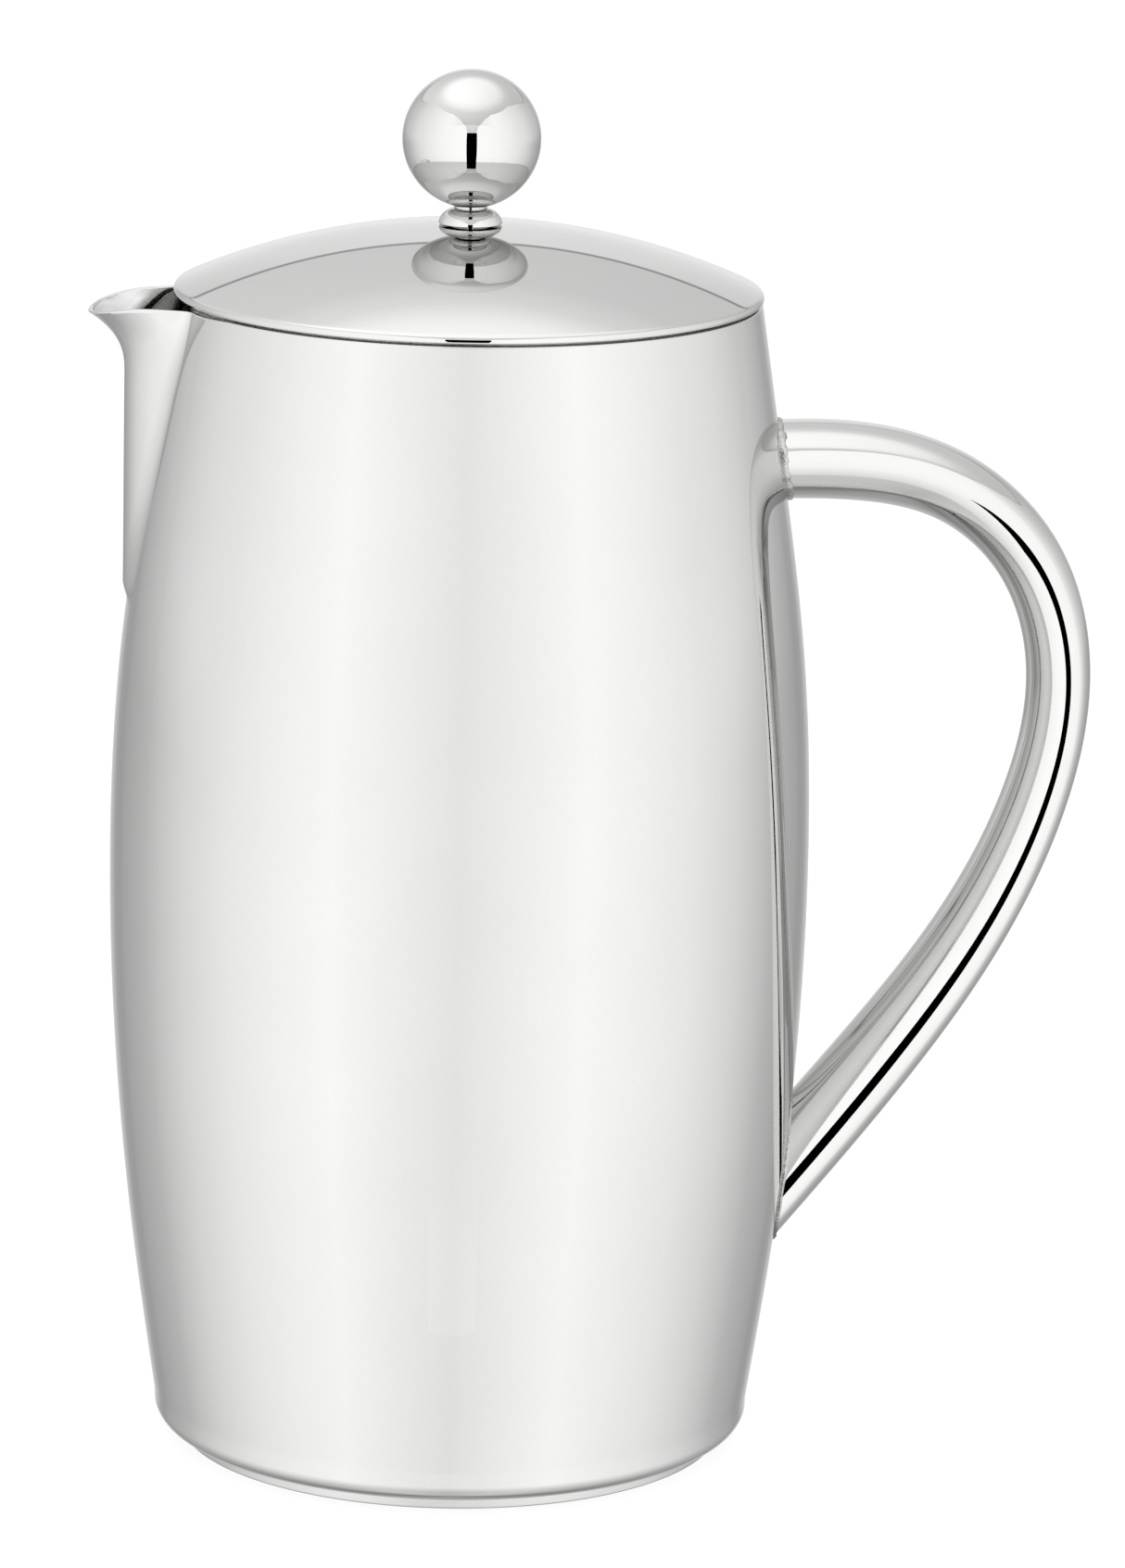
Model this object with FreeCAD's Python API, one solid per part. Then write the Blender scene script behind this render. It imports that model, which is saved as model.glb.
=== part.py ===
"""French press with a double steel wall, a welded spout and handle, and a three-part filter.

The pot stands on the XY plane with its axis on Z. The handle points along +X and the spout
along -X. Lengths are in millimetres. The plunger is modelled fully down.
"""
import FreeCAD
import Part

import math
import os

# Body
BODY_HEIGHT = 185.8
SHELL_WALL = 0.8
BARREL = [
    (48.15, 6.5), (51.55, 30), (54.65, 60), (56.0, 97), (54.45, 130), (50.38, 160), (46.45, BODY_HEIGHT),
]
FOOT_RADIUS = 43.9
FOOT_HEIGHT = 2.0
FOOT_WALL = 0.8
FOOT_EDGE = 0.5
FOOT_RING_WIDTH = 2.6
PANEL_LIFT = 1.6
PAN_FLANGE = 0.9
CORNER_PULL_IN = 1.15
CORNER_RISE = 1.2
LINER_RADIUS = 43.0
LINER_WALL = 0.8
LINER_FLOOR = 8.0
LINER_CORNER = 8.0

# Spout: an upright rounded ridge that flares into the lip above and runs into the barrel below
SPOUT_WALL = 0.9
RIDGE_REACH = 54.3
NOSE_DEPTH = 6.7
NOSE_HALF_WIDTH = 10.3
LIP_EXTRA_DEPTH = 3.2
LIP_EXTRA_WIDTH = 2.9
LIP_FULLNESS = 0.5
LIP_START = 172.0
FLARE_START = 174.0
FLARE = 6.1
FLARE_POWER = 2.6
TAIL_TOP = 140.8
TAIL_CURVE = 0.16
SPOUT_BOTTOM = 136.0
SPOUT_TOP = 187.0
SPOUT_STEP = 2.65
SPOUT_ROOT = 41.0
THROAT_BOTTOM = 143.0
THROAT_INNER_REACH = 34.0
THROAT_WALL = 0.8
LIP_LEVEL_REACH = 50.0
LIP_REACH = 60.2
LIP_DROP = 1.6
SEAM_WIDTH = 0.7
SEAM_HEIGHT = 0.4

# Handle: distance from the axis, height, thickness in the plane of the handle. Its section is
# flatter on the outside of the loop and rounder on the inside: a circle with these harmonics.
HANDLE_PATH = [
    (45.0, 160.1, 12.3),
    (61.0, 160.1, 12.5),
    (77.5, 156.1, 11.5),
    (90.8, 144.0, 10.8),
    (96.1, 125.5, 10.25),
    (93.2, 105.9, 10.45),
    (82.6, 82.5, 11.4),
    (67.4, 61.0, 12.6),
    (46.6, 35.7, 13.3),
]
HANDLE_WALL = 1.2
HANDLE_SECTIONS = 17
SECTION_HARMONICS = {2: -0.166, 3: -0.058, 4: -0.012}
SECTION_POINTS = 28
WELD_WIDTH = 1.1
WELD_HEIGHT = 0.6

# Lid
LID_APEX = 197.8
LID_DOME_RADIUS = 112.0
LID_RADIUS = 46.6
LID_EDGE_RADIUS = 1.0
LID_EDGE_BOTTOM = 186.6
LID_WALL = 0.8
SKIRT_RADIUS = 42.6
SKIRT_WALL = 0.8
SKIRT_BOTTOM = 170.0
SKIRT_FLANGE_RADIUS = 45.25
PLATE_HEIGHT = 182.0
PLATE_RIM_HEIGHT = 3.0
CAP_HOLE_RADIUS = 3.5
CAP_SHOULDER_INSET = 0.55
CAP_EDGE_TAPER = 0.25
CAP_LIP_CLEARANCE = 0.35

# Bush
BUSH_BORE = 2.6
BUSH_RADIUS = 3.4
COLLAR_RADIUS = 5.0
COLLAR_TOP_RADIUS = 3.0
COLLAR_BOTTOM = 197.95
COLLAR_TOP = 200.3
COLLAR_EDGE = 0.3
BUSH_BOTTOM = 178.0
CLIP_GAP = 0.3
CLIP_THICKNESS = 1.2
CLIP_RADIUS = 5.6
CLIP_OPENING = 2.4
GROOVE_DEPTH = 0.5

# Plunger
BALL_RADIUS = 10.95
BALL_CENTRE = 211.35
BALL_WALL = 1.0
BALL_NECK_BOTTOM = BALL_CENTRE - BALL_RADIUS + 0.4
INSERT_RADIUS = 4.2
INSERT_BOTTOM = BALL_CENTRE - BALL_RADIUS + 1.6
INSERT_TOP = 211.0
ROD_RADIUS = 2.5
THREAD_RADIUS = 2.0
ROD_TOP = 210.0
ROD_SHOULDER = 30.0
HUB_BOTTOM = 15.0
ROD_BOTTOM = HUB_BOTTOM + 1.5
HUB_RADIUS = 6.0
HUB_HEIGHT = 8.0
FILTER_RADIUS = 42.6
MESH_WALL = 0.3
MESH_RIM = 5.0
CROSS_RADIUS = 39.5
CROSS_WALL = 0.8
PLATE_RADIUS = 37.0
SPRING_RING_RADIUS = 39.6
SPRING_TUBE_RADIUS = 2.1
SPRING_GAP = 0.05
WASHER_RADIUS = 6.0

# Rings of holes in the two plates: number, radius of the ring, radius of a hole
CROSS_HOLES = [(6, 12.5, 3.6), (12, 22.0, 4.2), (16, 33.0, 4.6)]
PLATE_HOLES = [(8, 13.0, 2.6), (14, 22.0, 2.8), (20, 31.0, 3.0)]

AXIS_START = FreeCAD.Vector(0, 0, 0)
AXIS = FreeCAD.Vector(0, 0, 1)
SIDE = FreeCAD.Vector(0, 1, 0)


def point(radius, height):
    return FreeCAD.Vector(radius, 0, height)


def line(start, end):
    return Part.LineSegment(point(*start), point(*end)).toShape()


def arc(start, middle, end):
    return Part.Arc(point(*start), point(*middle), point(*end)).toShape()


def spline(points):
    curve = Part.BSplineCurve()
    curve.interpolate([point(*p) for p in points])
    return curve.toShape()


def revolve(edges):
    """Turn a closed outline of edges in the XZ plane into a solid round the Z axis."""
    face = Part.Face(Part.Wire(Part.__sortEdges__(edges)))
    solid = face.revolve(AXIS_START, AXIS, 360)
    return Part.Solid(solid.Shells[0]) if solid.ShapeType != "Solid" else solid


def turned(outline):
    """Revolve a closed polygon of (radius, height) corners."""
    corners = outline + outline[:1]
    return revolve([line(a, b) for a, b in zip(corners, corners[1:])])


def tube(outer, inner, bottom, top):
    return turned([(inner, bottom), (outer, bottom), (outer, top), (inner, top)])


def cylinder(radius, bottom, top):
    return Part.makeCylinder(radius, top - bottom, FreeCAD.Vector(0, 0, bottom))


def save(name, shape):
    shape = shape.removeSplitter() if shape.ShapeType == "Compound" else shape
    solids = shape.Solids
    result = solids[0] if len(solids) == 1 else Part.makeCompound(solids)
    assert result.isValid(), name
    result.exportStep("parts/" + name + ".step")
    print(name, len(solids), "solid(s)", round(result.Volume, 1), "mm3")


# ---------------------------------------------------------------- body

def barrel_edges(offset):
    """Outer outline of the barrel from the foot corner to the rim, moved outwards by offset."""
    wall = [(radius + offset, height) for radius, height in BARREL]
    corner_start = wall[0]
    corner_end = (FOOT_RADIUS + 0.3, FOOT_HEIGHT - offset)
    corner_middle = (corner_start[0] - CORNER_PULL_IN, FOOT_HEIGHT + CORNER_RISE - 0.7 * offset)
    return [spline(wall), arc(corner_start, corner_middle, corner_end)], wall[-1], corner_end


def barrel_solid(offset=0.0):
    """The body filled solid, grown outwards by offset."""
    edges, rim, foot = barrel_edges(offset)
    edges += [line(rim, (0, rim[1])), line((0, rim[1]), (0, foot[1])), line((0, foot[1]), foot)]
    return revolve(edges)


def outer_shell():
    outside, rim, foot = barrel_edges(0.0)
    inside, inner_rim, inner_foot = barrel_edges(-SHELL_WALL)
    lip = FOOT_RADIUS + 0.05
    edges = outside + inside + [line(rim, inner_rim), line(foot, (lip, foot[1])),
                                line((lip, foot[1]), (lip, inner_foot[1])),
                                line((lip, inner_foot[1]), inner_foot)]
    return revolve(edges)


def base_pan():
    flange = FOOT_HEIGHT + SHELL_WALL
    inner = FOOT_RADIUS - FOOT_WALL
    step = inner - FOOT_RING_WIDTH
    inset = FOOT_WALL / 2
    return turned([
        (FOOT_RADIUS, flange), (FOOT_RADIUS, FOOT_EDGE), (FOOT_RADIUS - FOOT_EDGE, 0), (step, 0),
        (step - PANEL_LIFT, PANEL_LIFT), (0, PANEL_LIFT), (0, PANEL_LIFT + FOOT_WALL),
        (step - PANEL_LIFT + inset, PANEL_LIFT + FOOT_WALL), (step + inset, FOOT_WALL), (inner, FOOT_WALL),
        (inner, flange + FOOT_WALL), (FOOT_RADIUS + PAN_FLANGE, flange + FOOT_WALL),
        (FOOT_RADIUS + PAN_FLANGE, flange),
    ])


def liner_pot():
    """The inner pot: wall, rounded floor corner and rim flange."""
    outer = LINER_RADIUS + LINER_WALL
    floor = LINER_FLOOR + LINER_WALL
    bend = LINER_CORNER * (1 - math.sqrt(0.5))
    outer_corner = LINER_CORNER + LINER_WALL
    outer_bend = outer_corner * (1 - math.sqrt(0.5))
    flange = BARREL[-1][0] - SHELL_WALL
    under = BODY_HEIGHT - LINER_WALL
    return revolve([
        line((0, LINER_FLOOR), (outer - outer_corner, LINER_FLOOR)),
        arc((outer - outer_corner, LINER_FLOOR), (outer - outer_bend, LINER_FLOOR + outer_bend),
            (outer, LINER_FLOOR + outer_corner)),
        line((outer, LINER_FLOOR + outer_corner), (outer, under)),
        line((outer, under), (flange, under)),
        line((flange, under), (flange, BODY_HEIGHT)),
        line((flange, BODY_HEIGHT), (LINER_RADIUS, BODY_HEIGHT)),
        line((LINER_RADIUS, BODY_HEIGHT), (LINER_RADIUS, floor + LINER_CORNER)),
        arc((LINER_RADIUS, floor + LINER_CORNER), (LINER_RADIUS - bend, floor + bend),
            (LINER_RADIUS - LINER_CORNER, floor)),
        line((LINER_RADIUS - LINER_CORNER, floor), (0, floor)),
        line((0, floor), (0, LINER_FLOOR)),
    ])


# ---------------------------------------------------------------- spout

def levels(bottom, top):
    """Evenly spaced heights for the sections of the spout."""
    count = math.ceil((top - bottom) / SPOUT_STEP)
    return [bottom + (top - bottom) * index / count for index in range(count + 1)]


def nose_form(height):
    """Reach, depth, half width and fullness of the spout's nose at a height."""
    rise = max(0.0, (height - LIP_START) / (SPOUT_TOP - LIP_START))
    ease = 1 - (1 - rise) ** 2
    flare = FLARE * (max(0.0, height - FLARE_START) / 10) ** FLARE_POWER
    tail = TAIL_CURVE * max(0.0, TAIL_TOP - height) ** 2
    reach = RIDGE_REACH + flare - tail
    depth = NOSE_DEPTH + LIP_EXTRA_DEPTH * ease + flare
    return reach, depth, NOSE_HALF_WIDTH + LIP_EXTRA_WIDTH * ease, 2 + LIP_FULLNESS * rise ** 2


def nose_curve(height, reach, depth, half_width, fullness, root):
    """Horizontal outline of the nose, from one side of its root to the other."""
    side = half_width * ((reach - root) / depth) ** (1 / fullness)
    steps = [-1, -0.8, -0.55, -0.28, 0, 0.28, 0.55, 0.8, 1]
    points = [FreeCAD.Vector(-reach + (reach - root) * abs(t) ** fullness, t * side, height) for t in steps]
    curve = Part.BSplineCurve()
    curve.interpolate(points)
    return curve.toShape(), points[0], points[-1]


def nose_solid(grow=0.0):
    """The spout's outer form, which runs on into the body."""
    wires = []
    for height in levels(SPOUT_BOTTOM, SPOUT_TOP):
        reach, depth, half_width, fullness = nose_form(height)
        nose, start, end = nose_curve(height, reach + grow, depth, half_width + grow, fullness, SPOUT_ROOT)
        wires.append(Part.Wire([nose, Part.makeLine(end, start)]))
    return Part.makeLoft(wires, True, False)


def body_radius(height):
    """Outer radius of the barrel at a height."""
    curve = Part.BSplineCurve()
    curve.interpolate([point(*p) for p in BARREL])
    level = Part.Line(point(0, height), point(1, height))
    return curve.intersectCC(level)[0].X


def crease(height):
    """Where the nose meets the barrel: distance from the axis along the spout, and half width."""
    reach, depth, half_width, fullness = nose_form(height)
    radius = body_radius(min(height, BODY_HEIGHT))
    side = 0.0
    for _ in range(30):
        root = math.sqrt(radius ** 2 - side ** 2)
        side = 0.5 * side + 0.5 * half_width * (max(reach - root, 0.01) / depth) ** (1 / fullness)
    return root, side


def channel_solid(grow=0.0):
    """The way of the coffee: straight-sided through both walls, then narrowing to the lip."""
    wires = []
    for height in levels(THROAT_BOTTOM - grow, SPOUT_TOP):
        reach, _, _, fullness = nose_form(height)
        root, side = crease(height)
        inner_reach = reach - SPOUT_WALL
        half_width = side - SPOUT_WALL + grow
        nose, start, end = nose_curve(height, inner_reach, inner_reach - root, half_width, fullness, root)
        back_start = FreeCAD.Vector(-THROAT_INNER_REACH, start.y, height)
        back_end = FreeCAD.Vector(-THROAT_INNER_REACH, end.y, height)
        wires.append(Part.Wire([nose, Part.makeLine(end, back_end), Part.makeLine(back_end, back_start),
                                Part.makeLine(back_start, start)]))
    return Part.makeLoft(wires, True, False)


def below_lip():
    """Everything under the line of the spout's lip: level at the rim, then curving down to the tip."""
    run = LIP_REACH - LIP_LEVEL_REACH
    bend = (run ** 2 + LIP_DROP ** 2) / (2 * LIP_DROP)
    half_fall = bend - math.sqrt(bend ** 2 - (run / 2) ** 2)
    slope = run / math.sqrt(bend ** 2 - run ** 2)
    side = -3 * NOSE_HALF_WIDTH
    past_tip = 3.0

    def corner(reach, height):
        return FreeCAD.Vector(-reach, side, height)

    start = corner(SPOUT_ROOT - 1, BODY_HEIGHT)
    level_end = corner(LIP_LEVEL_REACH, BODY_HEIGHT)
    middle = corner(LIP_LEVEL_REACH + run / 2, BODY_HEIGHT - half_fall)
    tip = corner(LIP_REACH, BODY_HEIGHT - LIP_DROP)
    far = corner(LIP_REACH + past_tip, BODY_HEIGHT - LIP_DROP - past_tip * slope)
    far_low = corner(LIP_REACH + past_tip, SPOUT_BOTTOM - 10)
    low = corner(SPOUT_ROOT - 1, SPOUT_BOTTOM - 10)
    edges = [Part.makeLine(start, level_end), Part.Arc(level_end, middle, tip).toShape(),
             Part.makeLine(tip, far), Part.makeLine(far, far_low), Part.makeLine(far_low, low),
             Part.makeLine(low, start)]
    return Part.Face(Part.Wire(edges)).extrude(FreeCAD.Vector(0, -2 * side, 0))


# ---------------------------------------------------------------- handle

def support(angle):
    """Reach of the bar's section in a direction, the outside of the loop being 0, and its slope."""
    reach = 1 + sum(size * math.cos(order * angle) for order, size in SECTION_HARMONICS.items())
    slope = -sum(order * size * math.sin(order * angle) for order, size in SECTION_HARMONICS.items())
    return reach, slope


def section_wire(place, outward, thick, grow):
    """The bar's section at a place, as thick as stated between its outside and inside, then grown."""
    outer, inner = support(0)[0], support(math.pi)[0]
    unit = thick / (outer + inner)
    points = []
    for index in range(SECTION_POINTS):
        angle = 2 * math.pi * index / SECTION_POINTS
        reach, slope = (unit * value for value in support(angle))
        reach += grow
        out = reach * math.cos(angle) - slope * math.sin(angle) - unit * (outer - inner) / 2
        side = reach * math.sin(angle) + slope * math.cos(angle)
        points.append(place + outward * out + SIDE * side)
    curve = Part.BSplineCurve()
    curve.interpolate(points, True)
    return Part.Wire(curve.toShape())


def handle_solid(grow):
    """The handle's bar along its centre line, each section grown by grow."""
    centre = Part.BSplineCurve()
    centre.interpolate([point(x, z) for x, z, _ in HANDLE_PATH])
    knots = [centre.parameter(point(x, z)) for x, z, _ in HANDLE_PATH]
    wires = []
    for step in range(HANDLE_SECTIONS):
        t = knots[0] + (knots[-1] - knots[0]) * step / (HANDLE_SECTIONS - 1)
        span = max(i for i in range(len(knots) - 1) if knots[i] <= t + 1e-9)
        part = (t - knots[span]) / (knots[span + 1] - knots[span])
        thick = HANDLE_PATH[span][2] * (1 - part) + HANDLE_PATH[span + 1][2] * part
        outward = centre.tangent(t)[0].cross(SIDE)
        wires.append(section_wire(centre.value(t), outward, thick, grow))
    return Part.makeLoft(wires, True, False)


def weld(bar, grown_bar, body, grown_body):
    """The beads left where a bar is welded to the body, one solid for each place."""
    return grown_bar.common(grown_body).cut(body).cut(bar).Solids


# ---------------------------------------------------------------- lid

def dome_height(radius, drop=0.0):
    ball = LID_DOME_RADIUS - drop
    return LID_APEX - LID_DOME_RADIUS + math.sqrt(ball ** 2 - radius ** 2)


def lid_cap():
    """The dome with its rounded edge, turned in underneath to hold the skirt's flange."""
    shoulder = LID_RADIUS - CAP_SHOULDER_INSET
    inner_shoulder = shoulder - LID_WALL
    outer_top = dome_height(shoulder)
    inner_top = dome_height(inner_shoulder, LID_WALL)
    hole_top = dome_height(CAP_HOLE_RADIUS)
    hole_bottom = dome_height(CAP_HOLE_RADIUS, LID_WALL)
    middle = LID_RADIUS / 2
    lip = SKIRT_FLANGE_RADIUS + CAP_LIP_CLEARANCE
    edge_start = outer_top - LID_EDGE_RADIUS
    edge_middle = (LID_RADIUS - 0.12 * LID_EDGE_RADIUS, outer_top - 0.42 * LID_EDGE_RADIUS)
    edge_foot = LID_RADIUS - CAP_EDGE_TAPER
    pocket = LID_EDGE_BOTTOM + CAP_LIP_CLEARANCE
    return revolve([
        arc((CAP_HOLE_RADIUS, hole_top), (middle, dome_height(middle)), (shoulder, outer_top)),
        arc((shoulder, outer_top), edge_middle, (LID_RADIUS, edge_start)),
        line((LID_RADIUS, edge_start), (edge_foot, LID_EDGE_BOTTOM)),
        line((edge_foot, LID_EDGE_BOTTOM), (lip, LID_EDGE_BOTTOM)),
        line((lip, LID_EDGE_BOTTOM), (inner_shoulder, pocket)),
        line((inner_shoulder, pocket), (inner_shoulder, inner_top)),
        arc((inner_shoulder, inner_top), (middle, dome_height(middle, LID_WALL)),
            (CAP_HOLE_RADIUS, hole_bottom)),
        line((CAP_HOLE_RADIUS, hole_bottom), (CAP_HOLE_RADIUS, hole_top)),
    ])


def lid_skirt():
    inner = SKIRT_RADIUS - SKIRT_WALL
    top = BODY_HEIGHT + SKIRT_WALL
    return turned([
        (inner, SKIRT_BOTTOM), (SKIRT_RADIUS, SKIRT_BOTTOM), (SKIRT_RADIUS, BODY_HEIGHT),
        (SKIRT_FLANGE_RADIUS, BODY_HEIGHT), (SKIRT_FLANGE_RADIUS, top + SKIRT_WALL),
        (SKIRT_FLANGE_RADIUS - SKIRT_WALL, top + SKIRT_WALL), (SKIRT_FLANGE_RADIUS - SKIRT_WALL, top),
        (inner, top),
    ])


def lid_plate():
    edge = SKIRT_RADIUS - SKIRT_WALL
    return turned([
        (CAP_HOLE_RADIUS, PLATE_HEIGHT), (edge, PLATE_HEIGHT), (edge, PLATE_HEIGHT + PLATE_RIM_HEIGHT),
        (edge - SKIRT_WALL, PLATE_HEIGHT + PLATE_RIM_HEIGHT), (edge - SKIRT_WALL, PLATE_HEIGHT + SKIRT_WALL),
        (CAP_HOLE_RADIUS, PLATE_HEIGHT + SKIRT_WALL),
    ])


# ---------------------------------------------------------------- bush

def rod_bush():
    """Sleeve for the rod, with a bead-shaped collar above the lid and a groove for its clip below."""
    collar_edge = COLLAR_BOTTOM + COLLAR_EDGE
    bulge = (0.21 * COLLAR_TOP_RADIUS + 0.79 * COLLAR_RADIUS, (COLLAR_TOP + collar_edge) / 2)
    clip_top = PLATE_HEIGHT - CLIP_GAP
    clip_bottom = clip_top - CLIP_THICKNESS
    groove = BUSH_RADIUS - GROOVE_DEPTH
    return revolve([
        line((BUSH_BORE, BUSH_BOTTOM), (BUSH_BORE, COLLAR_TOP)),
        line((BUSH_BORE, COLLAR_TOP), (COLLAR_TOP_RADIUS, COLLAR_TOP)),
        arc((COLLAR_TOP_RADIUS, COLLAR_TOP), bulge, (COLLAR_RADIUS, collar_edge)),
        line((COLLAR_RADIUS, collar_edge), (COLLAR_RADIUS, COLLAR_BOTTOM)),
        line((COLLAR_RADIUS, COLLAR_BOTTOM), (BUSH_RADIUS, COLLAR_BOTTOM)),
        line((BUSH_RADIUS, COLLAR_BOTTOM), (BUSH_RADIUS, clip_top)),
        line((BUSH_RADIUS, clip_top), (groove, clip_top)),
        line((groove, clip_top), (groove, clip_bottom)),
        line((groove, clip_bottom), (BUSH_RADIUS, clip_bottom)),
        line((BUSH_RADIUS, clip_bottom), (BUSH_RADIUS, BUSH_BOTTOM)),
        line((BUSH_RADIUS, BUSH_BOTTOM), (BUSH_BORE, BUSH_BOTTOM)),
    ])


def bush_clip():
    """Open retaining ring in the bush's groove."""
    top = PLATE_HEIGHT - CLIP_GAP
    ring = tube(CLIP_RADIUS, BUSH_RADIUS - GROOVE_DEPTH, top - CLIP_THICKNESS, top)
    gap = Part.makeBox(CLIP_RADIUS + 1, CLIP_OPENING, CLIP_THICKNESS + 2,
                       FreeCAD.Vector(0, -CLIP_OPENING / 2, top - CLIP_THICKNESS - 1))
    return ring.cut(gap)


# ---------------------------------------------------------------- plunger

def knob_ball():
    """Hollow ball with a hole for the rod and a neck plate that closes it round the rod."""
    ball = Part.makeSphere(BALL_RADIUS, FreeCAD.Vector(0, 0, BALL_CENTRE))
    hollow = Part.makeSphere(BALL_RADIUS - BALL_WALL, FreeCAD.Vector(0, 0, BALL_CENTRE))
    hole = cylinder(INSERT_RADIUS, BALL_CENTRE - BALL_RADIUS - 1, BALL_CENTRE)
    neck = tube(INSERT_RADIUS, ROD_RADIUS, BALL_NECK_BOTTOM, INSERT_BOTTOM)
    return ball.cut(hollow).cut(hole).fuse(neck.common(ball)).removeSplitter()


def knob_insert():
    """Threaded boss inside the ball that the rod screws into."""
    return tube(INSERT_RADIUS, THREAD_RADIUS, INSERT_BOTTOM, INSERT_TOP)


def plunger_rod():
    """Rod with a thinner threaded length at each end."""
    return turned([
        (0, ROD_BOTTOM), (THREAD_RADIUS, ROD_BOTTOM), (THREAD_RADIUS, ROD_SHOULDER),
        (ROD_RADIUS, ROD_SHOULDER), (ROD_RADIUS, INSERT_BOTTOM), (THREAD_RADIUS, INSERT_BOTTOM),
        (THREAD_RADIUS, ROD_TOP), (0, ROD_TOP),
    ])


def perforated(outer, bottom, top, rings):
    """Thin disc round the rod with rings of holes."""
    disc = tube(outer, THREAD_RADIUS, bottom, top)
    for count, ring_radius, hole_radius in rings:
        for index in range(count):
            angle = 2 * math.pi * index / count
            place = FreeCAD.Vector(ring_radius * math.cos(angle), ring_radius * math.sin(angle), bottom - 1)
            disc = disc.cut(Part.makeCylinder(hole_radius, top - bottom + 2, place))
    return disc


def filter_hub():
    """Hexagonal nut under the filter, with a blind hole for the rod's thread."""
    corners = []
    for index in range(7):
        angle = math.pi * index / 3
        corners.append(FreeCAD.Vector(HUB_RADIUS * math.cos(angle), HUB_RADIUS * math.sin(angle), HUB_BOTTOM))
    prism = Part.Face(Part.makePolygon(corners)).extrude(AXIS * HUB_HEIGHT)
    return prism.cut(cylinder(THREAD_RADIUS, ROD_BOTTOM, HUB_BOTTOM + HUB_HEIGHT + 1))


def main():
    os.makedirs("parts", exist_ok=True)

    body = barrel_solid()
    cavity = barrel_solid(-SHELL_WALL)
    channel = channel_solid()
    nose = nose_solid()
    lip = below_lip()

    shell = outer_shell()
    liner = liner_pot()
    save("outer_shell", shell.cut(channel))
    save("inner_liner", liner.cut(channel))
    save("base_pan", base_pan().cut(shell))
    save("pouring_spout", nose.common(lip).cut(body).cut(channel))
    gap = cavity.cut(cylinder(LINER_RADIUS + LINER_WALL, 0, BODY_HEIGHT + 1))
    save("spout_throat", channel_solid(THROAT_WALL).cut(channel).common(gap).cut(liner))
    seam = nose_solid(SEAM_WIDTH).common(lip).common(barrel_solid(SEAM_HEIGHT)).cut(body).cut(nose)
    save("spout_seam", seam)

    bar = handle_solid(0.0)
    save("handle", bar.cut(handle_solid(-HANDLE_WALL)).cut(body))
    beads = weld(bar, handle_solid(WELD_WIDTH), body, barrel_solid(WELD_HEIGHT))
    beads.sort(key=lambda bead: bead.CenterOfMass.z)
    save("handle_lower_weld", beads[0])
    save("handle_upper_weld", beads[-1])

    save("lid_cap", lid_cap())
    save("lid_skirt", lid_skirt())
    save("lid_plate", lid_plate())
    save("rod_bush", rod_bush())
    save("bush_clip", bush_clip())

    save("knob_ball", knob_ball())
    save("knob_insert", knob_insert())
    save("plunger_rod", plunger_rod())

    hub_top = HUB_BOTTOM + HUB_HEIGHT
    cross_top = hub_top + CROSS_WALL
    mesh_top = cross_top + MESH_WALL
    plate_top = mesh_top + CROSS_WALL

    save("cross_plate", perforated(CROSS_RADIUS, hub_top, cross_top, CROSS_HOLES))
    save("filter_mesh", turned([
        (THREAD_RADIUS, cross_top), (FILTER_RADIUS, cross_top), (FILTER_RADIUS, cross_top + MESH_RIM),
        (FILTER_RADIUS - MESH_WALL, cross_top + MESH_RIM), (FILTER_RADIUS - MESH_WALL, mesh_top),
        (THREAD_RADIUS, mesh_top),
    ]))
    plate = perforated(PLATE_RADIUS, mesh_top, plate_top, PLATE_HOLES)
    save("spring_plate", plate)
    spring_height = mesh_top + SPRING_TUBE_RADIUS + SPRING_GAP
    spring = Part.makeTorus(SPRING_RING_RADIUS, SPRING_TUBE_RADIUS, FreeCAD.Vector(0, 0, spring_height))
    save("filter_spring", spring.cut(plate))
    save("stop_washer", tube(WASHER_RADIUS, THREAD_RADIUS, plate_top, ROD_SHOULDER))
    save("filter_hub", filter_hub())


main()
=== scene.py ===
import math

import bpy
import numpy as np
from mathutils import Matrix, Vector


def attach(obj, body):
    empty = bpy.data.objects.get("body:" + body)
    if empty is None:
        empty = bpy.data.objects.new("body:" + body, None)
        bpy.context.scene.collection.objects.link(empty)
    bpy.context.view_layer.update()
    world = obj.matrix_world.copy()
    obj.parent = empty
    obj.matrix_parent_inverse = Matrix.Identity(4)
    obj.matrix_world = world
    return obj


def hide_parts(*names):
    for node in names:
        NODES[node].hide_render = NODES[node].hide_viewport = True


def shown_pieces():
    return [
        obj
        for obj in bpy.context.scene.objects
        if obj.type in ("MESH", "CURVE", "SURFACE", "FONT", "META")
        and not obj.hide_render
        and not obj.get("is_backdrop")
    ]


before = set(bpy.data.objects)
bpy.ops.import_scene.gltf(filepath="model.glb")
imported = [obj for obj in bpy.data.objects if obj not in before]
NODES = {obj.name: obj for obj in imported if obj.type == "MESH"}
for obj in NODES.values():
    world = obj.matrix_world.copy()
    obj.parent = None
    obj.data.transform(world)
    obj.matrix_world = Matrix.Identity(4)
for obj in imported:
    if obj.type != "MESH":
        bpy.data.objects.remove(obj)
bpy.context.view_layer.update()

SCENE = bpy.context.scene
MM = 0.001

# ---------------------------------------------------------------- sizes, in millimetres

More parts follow.
